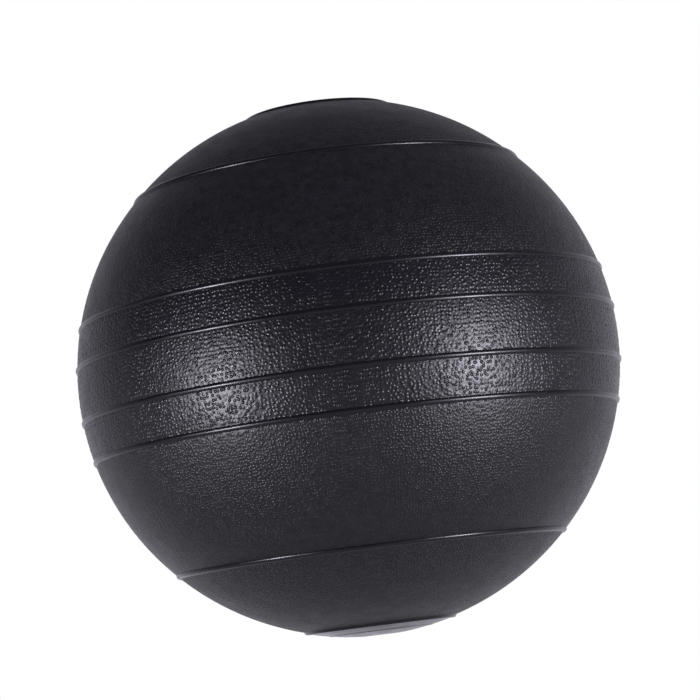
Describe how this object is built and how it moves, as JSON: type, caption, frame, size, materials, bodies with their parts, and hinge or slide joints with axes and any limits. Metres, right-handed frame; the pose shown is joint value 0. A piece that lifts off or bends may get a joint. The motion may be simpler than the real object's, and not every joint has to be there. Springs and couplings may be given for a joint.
{
  "type": "medicine ball",
  "caption": "Sand-filled slam-type medicine ball with a ribbed, textured grip belt round its equator and smooth round discs at its poles.",
  "frame": {"origin": "the middle of the small flat patch on which the ball rests, under its centre", "axes": "+Z along the mould axis, up through both polar discs to the filler plug; the ball is turned about +Z, so +X and +Y are any two level directions"},
  "size_m": [0.2304, 0.2304, 0.2278],
  "materials": {
    "shell": "satin",
    "filler_plug": "gloss",
    "needle_valve": "matte",
    "sand_filling": "matte"
  },
  "bodies": {
    "root": {"shell": "shell", "filler_plug": "filler_plug", "needle_valve": "needle_valve", "sand_filling": "sand_filling"}
  },
  "joints": []
}
